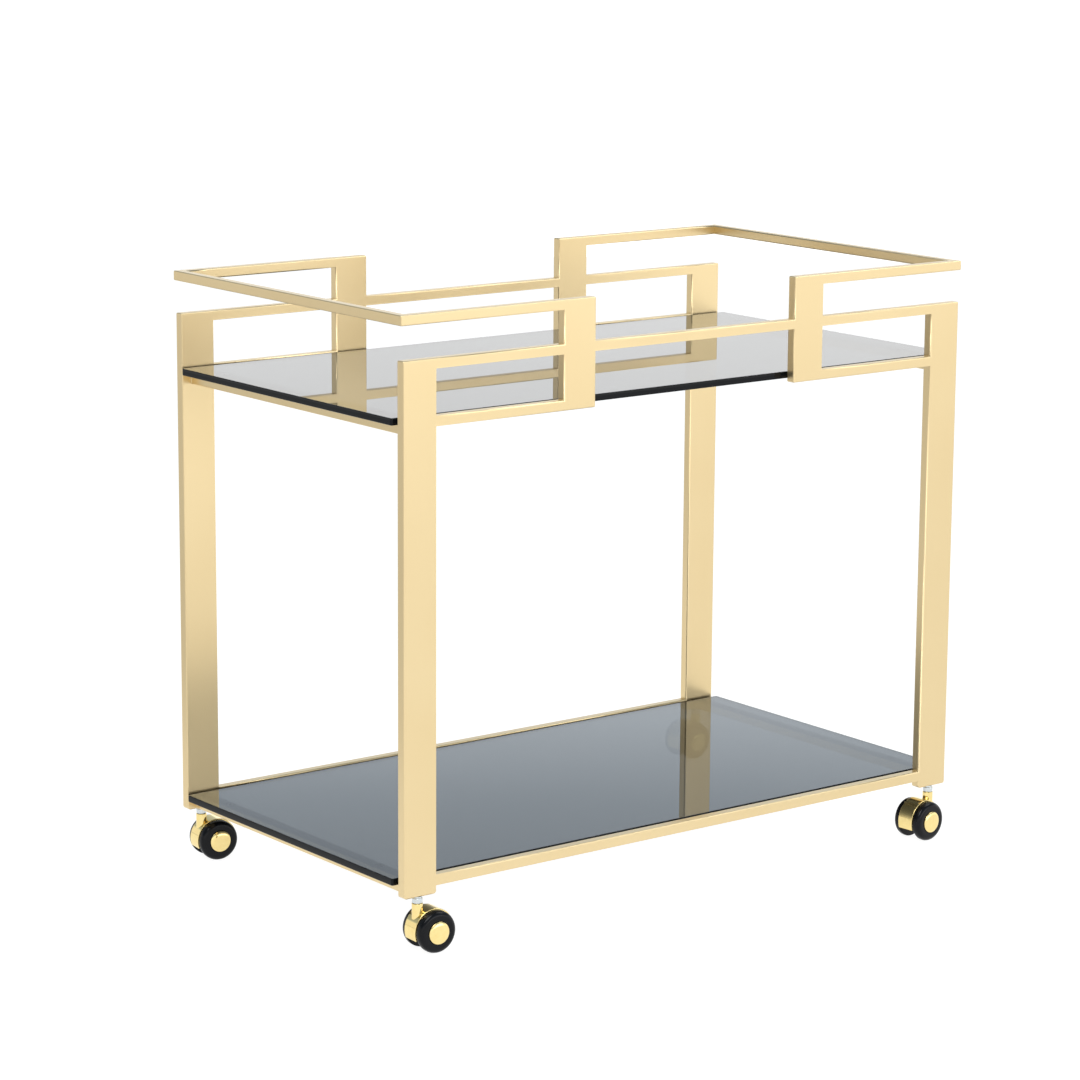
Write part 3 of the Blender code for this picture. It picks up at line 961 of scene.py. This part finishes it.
def resampled(loop: np.ndarray, count: int) -> np.ndarray:
    """Spreads points evenly along a closed loop: each coordinate is interpolated over the length run.

    Args:
        loop: The loop's points, the first one not repeated.
        count: How many points to spread.

    Returns:
        An array of that many rows.
    """
    closed = np.vstack([loop, loop[:1]])
    length = np.concatenate([[0.0], np.cumsum(np.linalg.norm(np.diff(closed, axis=0), axis=1))])
    even = np.linspace(0.0, length[-1], count, endpoint=False)
    return np.stack([np.interp(even, length, closed[:, axis]) for axis in range(loop.shape[1])], axis=1)


# ---------------------------------------------------------------- the glass shelves


@dataclass
class GlassShelf:
    """A pane of smoked glass with arrissed, polished edges, on four thin clear pads."""

    level: str
    arris: float = 1.0 * MM
    corner: float = 2.5 * MM
    arris_steps: int = 4
    edge_slope: float = 0.8  # a face whose normal rises less than this belongs to the edge
    pad_radius: float = 5.0 * MM
    pad_steps: int = 40
    pad_inset: float = 60 * MM  # from the pane's long edges to the middle of a pad

    def pane(self) -> bpy.types.Mesh:
        """The pane: its plan, drawn in along a quarter-round arris at the top and at the bottom."""
        low, high = (np.array(corner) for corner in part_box(f"glass_shelf_{self.level}"))
        middle = (low + high) / 2
        radii = (self.arris, self.arris)
        top = arc((self.arris, high[2] - self.arris), radii, (90.0, 180.0), self.arris_steps)
        foot = arc((self.arris, low[2] + self.arris), radii, (180.0, 270.0), self.arris_steps)
        size = (high[0] - low[0], high[1] - low[1])
        skin = slab(size, self.corner, np.vstack([top, foot]), (middle[0], middle[1]))
        return mesh_of(f"glass_shelf_{self.level}", skin)

    def mark_edge(self, mesh: bpy.types.Mesh) -> None:
        """Gives the faces round the pane's rim the second material.

        Args:
            mesh: The pane's mesh.
        """
        normals = np.empty(len(mesh.polygons) * 3, np.float32)
        mesh.polygons.foreach_get("normal", normals)
        edge = np.abs(normals[2::3]) < self.edge_slope
        mesh.polygons.foreach_set("material_index", edge.astype(np.int32))

    def build(self, finishes: Finishes) -> None:
        """Builds the pane and its pads and dresses them.

        Args:
            finishes: The materials to choose from.
        """
        node = f"glass_shelf_{self.level}"
        pane = self.pane()
        glass = [finishes.glass, finishes.glass_edge]
        add_piece(f"{node}_pane", pane, glass, "cart", (node,))
        self.mark_edge(pane)
        low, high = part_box(node)
        for side in SIDES:
            rail_low, rail_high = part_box(f"cross_rail_{self.level}_{side}")
            gap = low.z - rail_high.z
            for end, y in (("front", low.y + self.pad_inset), ("back", high.y - self.pad_inset)):
                place = np.array([(rail_low.x + rail_high.x) / 2, y, rail_high.z])
                pad = turned(self.pad_profile(gap), self.pad_steps).placed(np.eye(3), place)
                name = f"{node}_pad_{side}_{end}"
                add_piece(name, mesh_of(name, pad), [finishes.silicone], "cart")

    def pad_profile(self, thickness: float) -> np.ndarray:
        """A pad's profile: flat, with a half-round rim."""
        rim = thickness / 2
        side = arc((self.pad_radius - rim, rim), (rim, rim), (90.0, -90.0), 6)
        return np.vstack([[0.0, thickness], side, [0.0, 0.0]])


# ---------------------------------------------------------------- the casters


@dataclass
class TwinCaster:
    """A swivel caster: a zinc-plated stem, a bent gold hood, two black wheels and their gold caps.

    In its own axes X points from the swivel axis to the axle, Y lies along the axle and Z is up.
    """

    corner: str
    joints: dict[str, dict]
    hood_radius: float = 26.5 * MM
    hood_wall: float = 2.0 * MM
    hood_width: float = 22.5 * MM
    hood_edge: float = 0.6 * MM
    hood_end_deg: float = 20.0  # how far below the axle's height the skirt ends
    web: float = 5.0 * MM
    boss_radius: float = 6.5 * MM
    axle_boss_radius: float = 6.0 * MM
    wheel_radius: float = 25.0 * MM
    wheel_gap: float = 0.6 * MM
    wheel_width: float = 9.5 * MM
    tread_width: float = 4.7 * MM
    face_radius: float = 18.5 * MM
    cap_proud: float = 1.0 * MM
    cap_crown: float = 2.4 * MM
    cap_rim: float = 1.1 * MM
    cap_clearance: float = 0.3 * MM
    seat_depth: float = 2.6 * MM
    bore_radius: float = 3.3 * MM
    bore_depth: float = 6.3 * MM
    shank_radius: float = 4.0 * MM
    neck_radius: float = 5.2 * MM
    neck_gap: float = 0.3 * MM  # between the neck and the leg
    collar_radius: float = 6.2 * MM
    collar_drop: tuple[float, float] = (2.1 * MM, 8.3 * MM)  # its top and foot under the leg
    socket_skirt: float = 3.3 * MM  # how far the hood's socket reaches under the stem
    steps: int = 96

    def __post_init__(self) -> None:
        """Finds the caster's places from its joints and its cap's box."""
        swivel = np.array(self.joints[f"{self.corner}_swivel"]["pos_m"])
        spin = self.joints[f"{self.corner}_front_wheel_spin"]
        self.hub = np.array(spin["pos_m"])
        self.pivot = np.array([swivel[0], swivel[1], 0.0])
        ahead = self.hub - self.pivot
        ahead[2] = 0.0
        self.trail = float(np.linalg.norm(ahead))
        ahead /= self.trail
        up = np.array([0.0, 0.0, 1.0])
        self.axes = np.array([ahead, np.cross(up, ahead), up])
        self.axle_to_back = np.array(spin["axis"])
        low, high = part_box(f"caster_{self.corner}_cap_front")
        self.cap_radius = (high.z - low.z) / 2
        self.inner_y = self.hood_width / 2 + self.wheel_gap
        self.outer_y = self.inner_y + self.wheel_width

    def build(self, finishes: Finishes) -> None:
        """Builds the caster's pieces and dresses them.

        Args:
            finishes: The materials to choose from.
        """
        name = f"caster_{self.corner}"
        stem = mesh_of(f"{name}_stem", self.stem())
        add_piece(f"{name}_stem_turned", stem, [finishes.zinc], "cart", (f"{name}_stem",))
        hood = fused(f"{name}_hood", self.hood())
        gold = [finishes.bright_gold]
        add_piece(f"{name}_hood_shell", hood, gold, name, (f"{name}_hood",))
        for facing in Facing:
            body = f"{self.corner}_{facing.value}_wheel"
            outward = -self.axle_to_back if facing is Facing.FRONT else self.axle_to_back
            axes = np.array([self.axes[0], np.cross(outward, self.axes[0]), outward])
            wheel_node = f"{name}_wheel_{facing.value}"
            wheel = mesh_of(wheel_node, turned(self.wheel_profile(), self.steps).placed(axes, self.hub))
            nylon = [finishes.nylon]
            add_piece(f"{wheel_node}_moulding", wheel, nylon, body, (wheel_node,))
            cap_node = f"{name}_cap_{facing.value}"
            cap = mesh_of(cap_node, turned(self.cap_profile(), self.steps).placed(axes, self.hub))
            add_piece(f"{cap_node}_dome", cap, gold, body, (cap_node,))

    def stem(self) -> Skin:
        """The stem, turned: shank, neck, a collar with rounded rims, and the pin inside the hood."""
        low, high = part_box(f"caster_{self.corner}_stem")
        leg_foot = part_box(f"leg_{self.corner}")[0].z
        shank, neck, collar = self.shank_radius, self.neck_radius, self.collar_radius
        collar_top, collar_foot = (leg_foot - drop for drop in self.collar_drop)
        rim = 0.7 * MM
        profile = np.vstack(
            [
                [0.0, high.z],
                [shank - rim, high.z],
                [shank, high.z - rim],
                [shank, leg_foot - self.neck_gap],
                [neck, leg_foot - self.neck_gap],
                [neck, collar_top],
                arc((collar - rim, collar_top - rim), (rim, rim), (90.0, 0.0), 5),
                arc((collar - rim, collar_foot + rim), (rim, rim), (0.0, -90.0), 5),
                [shank, collar_foot],
                [shank, low.z + rim],
                [shank - rim, low.z],
                [0.0, low.z],
            ]
        )
        return turned(profile, self.steps).placed(np.eye(3), self.pivot)

    def hood(self) -> list[Skin]:
        """The hood's shapes, which lie over each other: skirt, web, axle boss and stem socket.

        The skirt is a flat bar's outline carried along an arc round the axle, at the middle of the wall.
        The web is a plate inside it, cut off between the arc's ends.

        Returns:
            The four surfaces, in place.
        """
        centre = np.array([self.trail, 0.0, self.wheel_radius])
        bend = self.hood_radius - self.hood_wall / 2
        skirt_ends = (-self.hood_end_deg, 180.0 + self.hood_end_deg)
        around = arc((0.0, 0.0), (1.0, 1.0), skirt_ends, self.steps)
        radial = np.stack([around[:, 0], np.zeros(len(around)), around[:, 1]], axis=1)
        outline = rounded_rectangle(self.hood_width, self.hood_wall, self.hood_edge, 4)
        skirt = carried(outline, centre + radial * bend, np.array([0.0, 1.0, 0.0]), radial)

        web_ends = (-self.hood_end_deg / 2, 180.0 + self.hood_end_deg / 2)
        rim = arc((0.0, 0.0), (bend, bend), web_ends, self.steps // 2)
        halves = np.array([[-self.web / 2], [self.web / 2]])
        rings = np.empty((2, len(rim), 3))
        rings[..., 0] = centre[0] + rim[:, 0]
        rings[..., 1] = halves
        rings[..., 2] = centre[2] + rim[:, 1]
        web = closed_stack(rings)

        boss_rim, socket_rim = 0.4 * MM, 0.5 * MM
        half = self.hood_width / 2 - boss_rim
        along_axle = np.array([[1.0, 0.0, 0.0], [0.0, 0.0, -1.0], [0.0, 1.0, 0.0]])
        boss = turned(self.rod_profile(self.axle_boss_radius, -half, half, boss_rim), 48)
        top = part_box(f"caster_{self.corner}_hood")[1].z
        socket_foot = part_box(f"caster_{self.corner}_stem")[0].z - self.socket_skirt
        socket = turned(self.rod_profile(self.boss_radius, socket_foot, top, socket_rim), 64)
        parts = [skirt, web, boss.placed(along_axle, centre), socket]
        return [part.placed(self.axes, self.pivot) for part in parts]

    @staticmethod
    def rod_profile(radius: float, low: float, high: float, rim: float) -> np.ndarray:
        """The profile of a rod with rounded rims: two quarter circles between the flat ends.

        Args:
            radius: The rod's radius.
            low: The height of its lower end.
            high: The height of its upper end.
            rim: The radius of its rims.

        Returns:
            Rows of (radius, height) from the top down.
        """
        return np.vstack(
            [
                [0.0, high],
                arc((radius - rim, high - rim), (rim, rim), (90.0, 0.0), 4),
                arc((radius - rim, low + rim), (rim, rim), (0.0, -90.0), 4),
                [0.0, low],
            ]
        )

    def wheel_profile(self) -> np.ndarray:
        """A wheel: cap seat, flat face, rounded shoulder, tread, and the bore for the axle.

        The shoulder is a quarter ellipse from the face to the tread, and a fine step parts it from the tread.
        """
        seat_radius = self.cap_radius + self.cap_clearance
        seat = self.outer_y - self.seat_depth
        tread_end = self.inner_y + self.tread_width
        step = 0.25 * MM
        lip = 0.4 * MM
        heel = 0.9 * MM
        shoulder_radii = (self.wheel_radius - step - self.face_radius, self.outer_y - tread_end)
        bore_end = self.inner_y + self.bore_depth
        return np.vstack(
            [
                [0.0, seat],
                [seat_radius, seat],
                [seat_radius, self.outer_y - lip],
                arc((seat_radius + lip, self.outer_y - lip), (lip, lip), (180.0, 90.0), 4),
                arc((self.face_radius, tread_end), shoulder_radii, (90.0, 0.0), 16),
                arc((self.wheel_radius - step, tread_end - step), (step, step), (90.0, 0.0), 3),
                [self.wheel_radius, self.inner_y + heel],
                arc((self.wheel_radius - heel, self.inner_y + heel), (heel, heel), (0.0, -90.0), 6),
                [self.bore_radius, self.inner_y],
                [self.bore_radius, bore_end],
                [0.0, bore_end],
            ]
        )

    def cap_profile(self) -> np.ndarray:
        """A hub cap: a quarter ellipse from its middle out, over a rounded rim and a straight side."""
        rim = self.cap_rim
        base = self.outer_y + self.cap_proud
        back = self.outer_y - self.seat_depth + self.cap_clearance
        dome = arc((0.0, base), (self.cap_radius - rim * 0.3, self.cap_crown), (90.0, 12.0), 20)
        edge = arc((self.cap_radius - rim, base - rim * 0.4), (rim, rim), (50.0, 0.0), 5)
        return np.vstack([dome, edge, [self.cap_radius, back], [0.0, back]])


# ---------------------------------------------------------------- the studio


@dataclass
class Studio:
    """A pale floor, soft light and the camera."""

    floor_radius: float = 6.0
    floor_depth: float = 0.01
    floor_steps: int = 96
    floor_rings: int = 24
    shaded_side: tuple[float, float, float] = (-0.876, 0.482, 0.0)  # beyond the cart's left end
    fill_side: tuple[float, float, float] = (0.35, -0.92, 0.17)  # before the cart, low
    sky: tuple[tuple[float, str], ...] = (  # the sine of the height, and the colour there
        (0.0, "#FFFFFF"),
        (0.22, "#FFFFFF"),
        (0.25, "#E6EFF7"),
        (0.272, "#C4CED8"),
        (0.30, "#B2BCC6"),
        (0.50, "#A0A8AF"),
        (1.0, "#A0A8AF"),
    )
    lens: float = 119.89
    sensor: float = 36.0
    yaw_deg: float = 37.545
    pitch_deg: float = 11.647
    roll_deg: float = 0.371
    distance: float = 4.480
    aim: tuple[float, float, float] = (0.0, -0.013, 0.367)
    slide: tuple[float, float] = (-0.0469, 0.0313)

    def build(self) -> None:
        """Sets the whole stage."""
        self.add_floor()
        self.add_world()
        self.add_lights()
        self.add_camera()
        bpy.context.scene.view_settings.view_transform = "Standard"

    def add_floor(self) -> None:
        """A disc of seamless white paper: rings of points round its middle."""
        radii = np.linspace(0.0, self.floor_radius, self.floor_rings)
        top = np.stack([radii, np.zeros(self.floor_rings)], axis=1)
        foot = [[self.floor_radius, -self.floor_depth], [0.0, -self.floor_depth]]
        mesh = mesh_of("studio_floor", turned(np.vstack([top, foot]), self.floor_steps))
        mesh.materials.append(self.paper())
        floor = bpy.data.objects.new("studio_floor", mesh)
        bpy.context.scene.collection.objects.link(floor)

    def paper(self) -> bpy.types.Material:
        """Seamless paper, matt white, that glows: painted light, strongest under the cart, where it lifts the
        cart's shadow.

        Behind the cart's left end the glow is dimmed, painted shade that darkens what the frame's left faces
        reflect.

        Returns:
            The material.
        """
        material = new_material("seamless_white_paper", Base_Color=linear("#8A8A88"), Roughness=0.9)
        tree = material.node_tree
        shader = tree.nodes["Principled BSDF"]
        shader.inputs["Specular IOR Level"].default_value = 0.1
        shader.inputs["Emission Color"].default_value = (1.0, 1.0, 1.0, 1.0)
        place = add_node(tree, "ShaderNodeTexCoord").outputs["Object"]
        reach = add_node(tree, "ShaderNodeVectorMath", {"operation": "LENGTH"}, in_0=place).outputs["Value"]
        smooth = {"interpolation_type": "SMOOTHSTEP"}
        # painted light: the paper glows brightest under the cart, which lifts the cart's cast shadow
        glow = add_node(
            tree,
            "ShaderNodeMapRange",
            smooth,
            Value=reach,
            From_Min=0.2,
            From_Max=0.75,
            To_Min=0.97,
            To_Max=0.87,
        )
        side = add_node(
            tree, "ShaderNodeVectorMath", {"operation": "DOT_PRODUCT"}, in_0=place, in_1=self.shaded_side
        ).outputs["Value"]
        # painted shade: the glow is dimmed behind the cart's left end, to darken the frame's left faces in
        # reflection
        dim = add_node(
            tree,
            "ShaderNodeMapRange",
            smooth,
            Value=side,
            From_Min=0.74,
            From_Max=1.4,
            To_Min=1.0,
            To_Max=0.65,
        )
        light = add_node(
            tree, "ShaderNodeMath", {"operation": "MULTIPLY"}, in_0=glow.outputs[0], in_1=dim.outputs[0]
        )
        tree.links.new(light.outputs[0], shader.inputs["Emission Strength"])
        return material

    def add_world(self) -> None:
        """A studio all round: bright up to 13 degrees over the horizon, and dim and cool overhead."""
        world = bpy.data.worlds.new("studio")
        world.use_nodes = True
        bpy.context.scene.world = world
        tree = world.node_tree
        background = tree.nodes["Background"]
        direction = add_node(tree, "ShaderNodeTexCoord").outputs["Generated"]
        height = add_node(tree, "ShaderNodeSeparateXYZ", Vector=direction).outputs["Z"]
        ramp = add_node(tree, "ShaderNodeValToRGB", Fac=height)
        stops = ramp.color_ramp.elements
        for stop, (position, colour) in zip(stops, (self.sky[0], self.sky[-1])):
            stop.position = position
            stop.color = linear(colour)
        for position, colour in self.sky[1:-1]:
            stops.new(position).color = linear(colour)
        dot = {"operation": "DOT_PRODUCT"}
        side = add_node(tree, "ShaderNodeVectorMath", dot, in_0=direction, in_1=self.shaded_side)
        smooth = {"interpolation_type": "SMOOTHSTEP"}
        shade = add_node(
            tree,
            "ShaderNodeMapRange",
            smooth,
            Value=side.outputs["Value"],
            From_Min=0.1,
            From_Max=0.8,
            To_Min=1.4,
            To_Max=1.05,
        )
        ahead = add_node(tree, "ShaderNodeVectorMath", dot, in_0=direction, in_1=self.fill_side)
        lift = add_node(
            tree,
            "ShaderNodeMapRange",
            smooth,
            Value=ahead.outputs["Value"],
            From_Min=0.9,
            From_Max=0.99,
            To_Min=1.0,
            To_Max=1.9,
        )
        strength = add_node(
            tree, "ShaderNodeMath", {"operation": "MULTIPLY"}, in_0=shade.outputs[0], in_1=lift.outputs[0]
        )
        tree.links.new(strength.outputs[0], background.inputs["Strength"])
        tree.links.new(ramp.outputs["Color"], background.inputs["Color"])

    @staticmethod
    def add_lights() -> None:
        """Two softboxes: one high over the right end and one high before the left end."""
        boxes = (
            ("key_softbox", (2.0, -0.9, 2.9), 1.8, 26.0),
            ("left_softbox", (-1.3, -1.45, 2.4), 1.8, 42.0),
        )
        for name, place, size, power in boxes:
            light = bpy.data.lights.new(name, "AREA")
            light.shape = "SQUARE"
            light.size = size
            light.energy = power
            lamp = bpy.data.objects.new(name, light)
            bpy.context.scene.collection.objects.link(lamp)
            lamp.location = place
            toward = np.array([0.0, 0.0, 0.35]) - np.array(place)  # the middle of the cart
            lamp.rotation_euler = aim_rotation(toward, 0.0)

    def add_camera(self) -> None:
        """A long lens, a little above the upper shelf, that looks along the yaw and down the pitch."""
        yaw, pitch = math.radians(self.yaw_deg), math.radians(self.pitch_deg)
        ahead = np.array([math.sin(yaw) * math.cos(pitch), math.cos(yaw) * math.cos(pitch), -math.sin(pitch)])
        data = bpy.data.cameras.new("camera")
        data.lens = self.lens
        data.sensor_width = self.sensor
        data.clip_end = 100.0
        camera = bpy.data.objects.new("camera", data)
        bpy.context.scene.collection.objects.link(camera)
        rotation = aim_rotation(ahead, math.radians(self.roll_deg))
        camera.rotation_euler = rotation
        axes = np.array(camera.rotation_euler.to_matrix())
        camera.location = np.array(self.aim) - self.distance * ahead + axes[:, :2] @ np.array(self.slide)
        bpy.context.scene.camera = camera


def aim_rotation(ahead: np.ndarray, roll: float) -> Euler:
    """The rotation that points an object's -Z along a direction, its Y up, then rolled about that direction.

    Args:
        ahead: The direction to look along.
        roll: In radians, anticlockwise as seen from behind.

    Returns:
        The rotation as an Euler.
    """
    look = Vector(ahead.tolist())
    level = look.to_track_quat("-Z", "Y").to_matrix()
    return (level @ Matrix.Rotation(roll, 3, "Z")).to_euler()


# ---------------------------------------------------------------- the whole cart


def dress_axles(frame: dict, finishes: Finishes) -> None:
    """Gives the axles, whose CAD shape is right, their ground steel.

    Args:
        frame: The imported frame.
        finishes: The materials to choose from.
    """
    for corner in CORNERS:
        node = frame["nodes"][f"caster_{corner}_axle"]
        for slot in node.material_slots:
            slot.material = finishes.steel
        LOG.info("%s: ground steel on the CAD node", node.name)


def main() -> None:
    """Builds the cart's looks and the studio round it."""
    logging.basicConfig(level=logging.INFO, format="%(message)s")
    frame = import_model()
    finishes = Finishes()
    WeldedFrame().build(finishes)
    for level in LEVELS:
        for side in SIDES:
            CrossRail(level, side).build(finishes)
        GlassShelf(level).build(finishes)
    joints = {joint["name"]: joint for joint in frame["joints"]}
    for corner in CORNERS:
        TwinCaster(corner, joints).build(finishes)
    dress_axles(frame, finishes)
    Studio().build()


if __name__ == "__main__":
    main()
